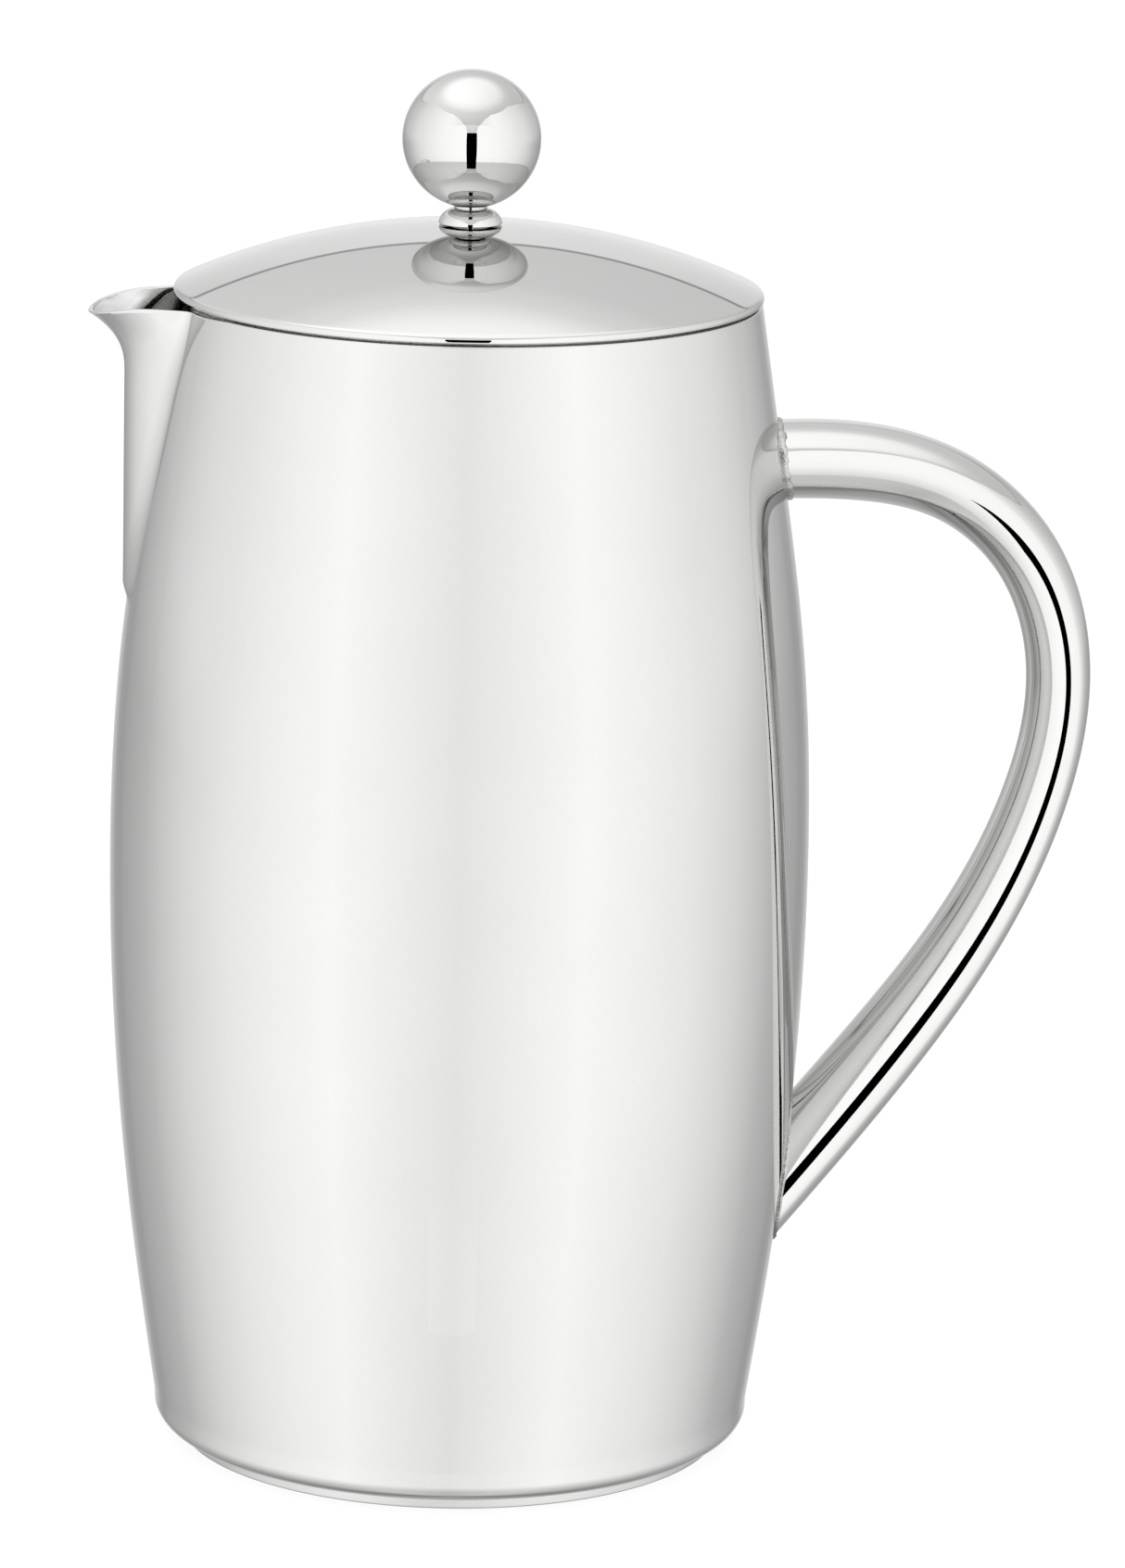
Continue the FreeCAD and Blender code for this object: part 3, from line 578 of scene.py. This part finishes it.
def make_shell():
    """Outer wall and spout in one skin: foot corner, wall, rounded rim and lip, and the spout's inside."""
    fine, mouth, mouth_fade, rise_start, rise_fade, shoulder = 24, 21, 3, 22, 10, 130
    near = np.radians(np.arange(-fine, fine + 0.01, 0.3))
    far = np.radians(np.linspace(fine, 360 - fine, 240)[1:-1])
    alpha = np.concatenate([near, far])
    alpha = np.where(alpha > math.pi, alpha - 2 * math.pi, alpha)
    top = np.full_like(alpha, BODY_TOP)
    for _ in range(80):
        top = 0.5 * top + 0.5 * lip_height(shell_radius(alpha, top) * np.cos(alpha))
    off_spout = np.degrees(np.abs(alpha))
    top += RIM_RISE * np.clip((off_spout - rise_start) / rise_fade, 0, 1)
    levels = np.concatenate([np.linspace(WALL_START, shoulder, 80)[:-1],
                             np.linspace(shoulder, LIP_START, 60)[:-1], np.linspace(LIP_START, BODY_TOP, 56)])
    share = (levels - WALL_START) / (BODY_TOP - WALL_START)
    height = WALL_START + share[:, None] * (top - RIM_EDGE - WALL_START)[None, :]
    radius = shell_radius(np.broadcast_to(alpha, height.shape), height)
    corner = [(43.95, FOOT_HEIGHT)] + arc_through(*FOOT_CORNER, 16)[:-1].tolist()
    foot = [(np.full_like(alpha, r), np.full_like(alpha, z)) for r, z in corner]
    rows = [np.stack([-r * np.cos(alpha), -r * np.sin(alpha), z], axis=1)
            for r, z in foot + list(zip(radius, height))]
    last = rows[-1]
    along = np.roll(last, -1, axis=0) - np.roll(last, 1, axis=0)
    inward = np.stack([-along[:, 1], along[:, 0], np.zeros(len(alpha))], axis=1)
    inward /= np.linalg.norm(inward, axis=1)[:, None]
    inward *= -np.sign((inward * last).sum(axis=1))[:, None]
    for t in np.linspace(0, math.pi, 11)[1:]:
        rise = np.array([0, 0, RIM_EDGE * math.sin(t)])
        rows.append(last + inward * RIM_WALL * (1 - math.cos(t)) / 2 + rise)
    in_mouth = np.clip((mouth - off_spout) / mouth_fade, 0, 1)
    deep = in_mouth * MOUTH_DEPTH + INSIDE_DEPTH
    outer_rows = len(rows)
    for t in np.linspace(0, 1, 40)[1:]:
        z = top - RIM_EDGE - t * deep
        r = shell_radius(alpha, z)
        place = np.stack([-r * np.cos(alpha), -r * np.sin(alpha), z], axis=1)
        rows.append(place + inward * RIM_WALL)
    thing = grid_mesh("pot_shell", np.array(rows), close_columns=True, sharp=50)
    ship(thing, "vessel", "polished_steel", POLISHED, "outer_shell", "pouring_spout", "spout_seam")
    thing.data.materials.append(INSIDE)
    columns = len(alpha)
    for face in thing.data.polygons:
        if face.index // columns >= outer_rows - 1:
            face.material_index = 1
    return thing


def make_base():
    """Foot ring and the raised panel inside it."""
    panel = 1.6
    outline = [(44.6, 2.9), (FOOT_RADIUS, 2.8), (FOOT_RADIUS, 0), (40.5, 0), (38.9, panel), (12, panel),
               (0.001, panel)]
    thing = lathe("foot_pan", softened(outline, [0, 0.1, 0.5, 0.4, 0.5, 1, 0])[::-1])
    ship(thing, "vessel", "polished_steel", BRUSHED, "base_pan")
    return thing


# ---------------------------------------------------------------- handle

SECTION_SHAPE = [(0, 1.0), (2, -0.166), (3, -0.058), (4, -0.012)]


def handle_section(count):
    """Outline of the bar, from its support function: half thickness 1 outwards and inwards."""
    angle = np.linspace(0, 2 * math.pi, count, endpoint=False)
    h = sum(c * np.cos(k * angle) for k, c in SECTION_SHAPE)
    slope = sum(-k * c * np.sin(k * angle) for k, c in SECTION_SHAPE)
    out = h * np.cos(angle) - slope * np.sin(angle)
    side = h * np.sin(angle) + slope * np.cos(angle)
    middle, half = (out.max() + out.min()) / 2, (out.max() - out.min()) / 2
    return (out - middle) / half, side / half


HANDLE_STATIONS = 260


def handle_grid(stations=HANDLE_STATIONS, count=128):
    """Points of the bent bar's skin, one row for each station along its path."""
    path = cubic(HANDLE_PATH, stations)
    centre, half = path[:, :2], path[:, 2] / 2
    tangent = np.gradient(centre, axis=0)
    tangent /= np.linalg.norm(tangent, axis=1)[:, None]
    outward = np.stack([-tangent[:, 1], tangent[:, 0]], axis=1)
    out, side = handle_section(count)
    points = np.zeros((stations, count, 3))
    points[:, :, 0] = centre[:, 0:1] + outward[:, 0:1] * half[:, None] * out
    points[:, :, 2] = centre[:, 1:2] + outward[:, 1:2] * half[:, None] * out
    points[:, :, 1] = -half[:, None] * side
    return points


def weld_bead(name, grid, node, seed, bead=0.56, slim_foot=None):
    """A slightly uneven bead along the line where the bar meets the body."""
    gap = np.hypot(grid[:, :, 0], grid[:, :, 1]) - barrel_radius(grid[:, :, 2])
    columns = grid.shape[1]
    line = []
    for j in range(columns):
        i = int(np.argmax(gap[:, j] > 0))
        share = gap[i - 1, j] / (gap[i - 1, j] - gap[i, j])
        line.append(grid[i - 1, j] * (1 - share) + grid[i, j] * share)
    line = np.array(line)
    out = line * [1, 1, 0]
    out /= np.linalg.norm(out, axis=1)[:, None]
    spread = np.cross(out, np.roll(line, -1, axis=0) - np.roll(line, 1, axis=0))
    spread /= np.linalg.norm(spread, axis=1)[:, None]
    spread *= np.sign((spread * (line - line.mean(axis=0))).sum(axis=1))[:, None]
    noise = np.random.default_rng(seed).normal(size=columns)
    ripple = sum(np.roll(noise, k) for k in range(-1, 2)) / 3
    rows = []
    size = bead * (1 + 0.24 * ripple)[:, None]
    if slim_foot:
        rise = (line[:, 2] - line[:, 2].min()) / np.ptp(line[:, 2])
        size *= (slim_foot + (1 - slim_foot) * rise)[:, None]
    for t in np.linspace(0, 2 * math.pi, 14, endpoint=False):
        rows.append(line + size * (out * math.cos(t) * 1.35 + spread * math.sin(t) * 0.6) + out * 0.2)
    thing = grid_mesh(name, np.array(rows), close_rows=True, close_columns=True)
    ship(thing, "vessel", "weld_steel", WELD, node)


def make_handle():
    grid = handle_grid()
    thing = grid_mesh("loop_handle", grid, close_columns=True)
    ship(thing, "vessel", "polished_steel", POLISHED, "handle")
    middle = HANDLE_STATIONS // 2
    weld_bead("upper_bead", grid[:middle], "handle_upper_weld", 3)
    weld_bead("lower_bead", grid[:middle:-1], "handle_lower_weld", 5, slim_foot=0.35)


# ---------------------------------------------------------------- lid, knob and filter

def dome(radius, drop=0.0):
    """Height of the lid's dome at a radius, or of the surface that lies drop below it."""
    return LID_APEX - LID_DOME + np.sqrt((LID_DOME - drop) ** 2 - np.asarray(radius, float) ** 2)


def make_lid():
    """Domed cover with a rolled edge, and the collar under it that centres it in the pot."""
    rounding = LID_EDGE_RADIUS
    middle = LID_RADIUS - rounding
    height = LID_APEX - LID_DOME + math.sqrt((LID_DOME - rounding) ** 2 - middle ** 2)
    start = math.atan2(height - (LID_APEX - LID_DOME), middle)
    touch = LID_DOME * math.cos(start)
    top = np.linspace(CAP_HOLE_RADIUS, touch, 90)
    profile = list(zip(top, dome(top)))
    profile += [(middle + rounding * math.cos(a), height + rounding * math.sin(a))
                for a in np.linspace(start, 0, 14)[1:]]
    lip = [(LID_RADIUS, height - 0.01), (LID_RADIUS - 0.1, LID_EDGE_BOTTOM), (45.6, LID_EDGE_BOTTOM),
           (45.35, LID_EDGE_BOTTOM + 0.2), (CAP_LIP_RADIUS, 187.2)]
    profile += softened(lip, [0, 0.15, 0.1, 0.1, 0])
    under = np.linspace(CAP_LIP_RADIUS - 0.1, CAP_HOLE_RADIUS, 60)
    profile += list(zip(under, dome(under, LID_WALL)))
    profile.append(profile[0])
    thing = lathe("dome_lid", profile[::-1], columns=320)
    ship(thing, "lid", "polished_steel", POLISHED, "lid_cap")
    skirt = [(SKIRT_INNER, SKIRT_TOP - 0.05), (SKIRT_INNER, SKIRT_BOTTOM), (SKIRT_OUTER, SKIRT_BOTTOM),
             (SKIRT_OUTER, BODY_TOP), (FLANGE_OUTER, BODY_TOP), (FLANGE_OUTER, FLANGE_TOP),
             (FLANGE_INNER, FLANGE_TOP), (FLANGE_INNER, SKIRT_TOP), (SKIRT_INNER, SKIRT_TOP)]
    skirt = softened(skirt, [0, 0.25, 0.25, 0.3, 0.2, 0.2, 0.2, 0.1, 0])
    ship(lathe("lid_collar", skirt), "lid", "satin_steel", SATIN, "lid_skirt")


def make_bush():
    """Turned bush: the half-bead collar above the lid, and the barrel with its clip groove below."""
    bead = arc_through((COLLAR_TOP_RADIUS, COLLAR_TOP), (4.58, 199.25), (COLLAR_RADIUS, 198.3), 20).tolist()
    outline = [(BUSH_BORE, BUSH_BOTTOM), (BUSH_BORE, COLLAR_TOP - 0.15), (2.75, COLLAR_TOP)] + bead
    outline += [(COLLAR_RADIUS, 198.0), (4.95, COLLAR_BOTTOM), (BUSH_RADIUS, COLLAR_BOTTOM),
                (BUSH_RADIUS, GROOVE_TOP), (GROOVE_RADIUS, GROOVE_TOP), (GROOVE_RADIUS, GROOVE_BOTTOM),
                (BUSH_RADIUS, GROOVE_BOTTOM), (BUSH_RADIUS, BUSH_BOTTOM + 0.1),
                (BUSH_RADIUS - 0.1, BUSH_BOTTOM), (BUSH_BORE, BUSH_BOTTOM)]
    ship(lathe("rod_collar", outline[::-1]), "bush", "polished_steel", POLISHED, "rod_bush")


def make_knob():
    """Ball knob with its short neck, which hides the threaded insert."""
    start = math.asin(2.62 / BALL_RADIUS)
    t = np.linspace(math.pi - start, 0, 110)
    outline = [(max(0.001, BALL_RADIUS * math.sin(a)), BALL_CENTRE + BALL_RADIUS * math.cos(a)) for a in t]
    outline = [(2.55, ROD_TOP), (2.55, outline[0][1] + 0.1)] + outline
    ship(lathe("ball_knob", outline), "plunger", "polished_steel", POLISHED, "knob_ball", "knob_insert")


def threaded(name, radius, depth, pitch, low, high):
    """A threaded length of rod, closed at its lower end."""
    z = np.arange(low, high + 1e-6, pitch / 8)
    angle = np.linspace(0, 2 * math.pi, 48, endpoint=False)
    phase = (z[:, None] / pitch - angle[None, :] / (2 * math.pi)) % 1
    r = radius - depth * np.abs(2 * phase - 1) * np.clip((z - low) / 1.0, 0.2, 1)[:, None]
    points = np.stack([r * np.cos(angle), r * np.sin(angle), np.broadcast_to(z[:, None], r.shape)], axis=2)
    cap = points[:1] * [0.02, 0.02, 1]
    return grid_mesh(name, np.concatenate([cap, points]), close_columns=True, sharp=60)


def make_rod():
    """Plain round rod above the filter's shoulder, and its threaded foot."""
    outline = [(0.001, ROD_SHOULDER - 0.1), (2.0, ROD_SHOULDER - 0.1), (2.3, ROD_SHOULDER - 0.05),
               (ROD_RADIUS, ROD_SHOULDER + 0.2), (ROD_RADIUS, ROD_TOP), (0.001, ROD_TOP)]
    rod = lathe("rod_bar", outline, columns=96)
    ship(rod, "plunger", "rod_steel", ROD, "plunger_rod")
    ship(threaded("rod_thread", 2.0, 0.28, 0.7, 16.5, ROD_SHOULDER), "plunger", "rod_steel", ROD)


def make_spring():
    """The close-wound coil that seals the filter against the pot."""
    ring, coil, wire, turns, per_turn, sides = 39.6, 1.75, 0.33, 132, 22, 8
    t = np.linspace(0, 2 * math.pi, turns * per_turn, endpoint=False)
    spin = t * turns
    centre_height = 26.25
    radial = np.stack([np.cos(t), np.sin(t), np.zeros_like(t)], axis=1)
    up = np.array([0, 0, 1.0])
    out = radial * np.cos(spin)[:, None] + up * np.sin(spin)[:, None]
    line = radial * ring + up * centre_height + out * coil
    run = np.roll(line, -1, axis=0) - np.roll(line, 1, axis=0)
    run /= np.linalg.norm(run, axis=1)[:, None]
    side = np.cross(run, out)
    rows = [line + wire * (out * math.cos(a) + side * math.sin(a))
            for a in np.linspace(0, 2 * math.pi, sides, endpoint=False)]
    thing = grid_mesh("seal_spring", np.array(rows), close_rows=True, close_columns=True)
    ship(thing, "plunger", "spring_steel", SPRING, "filter_spring")


def dress_nodes():
    """The CAD nodes that stay as they are get their finish, and pressed or turned edges are eased."""
    # filter_mesh gets the wire cloth, whose dark between the wires is painted shade.
    # spout_throat gets the spout_inside material, whose dark zone past the seam is painted shade.
    finish = {"inner_liner": LINER, "spout_throat": INSIDE, "lid_plate": SATIN, "bush_clip": SPRING,
              "stop_washer": ROD, "spring_plate": PLATE, "filter_mesh": MESH, "cross_plate": PLATE,
              "filter_hub": ROD}
    for name, material in finish.items():
        node = NODES[name]
        node.data.materials.clear()
        node.data.materials.append(material)
    eased = {"stop_washer": 0.3, "filter_hub": 0.4, "cross_plate": 0.15, "spring_plate": 0.15}
    for name, width in eased.items():
        bevel = NODES[name].modifiers.new("eased", "BEVEL")
        bevel.width = width * MM
        bevel.segments = 2
        bevel.limit_method = "ANGLE"
        bevel.angle_limit = math.radians(40)


make_camera()
make_world()
make_floor()
SHELL = make_shell()
FOOT = make_base()
make_handle()
make_lid()
make_bush()
make_knob()
make_rod()
make_spring()
dress_nodes()

BROAD = bpy.data.collections.new("broad")
BROAD.objects.link(SHELL)
BROAD.objects.link(FOOT)
SMALL = bpy.data.collections.new("small")
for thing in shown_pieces():
    if thing not in (SHELL, FOOT):
        SMALL.objects.link(thing)
make_opening(BROAD)
make_fill(SMALL)

SCENE.view_settings.view_transform = "Standard"
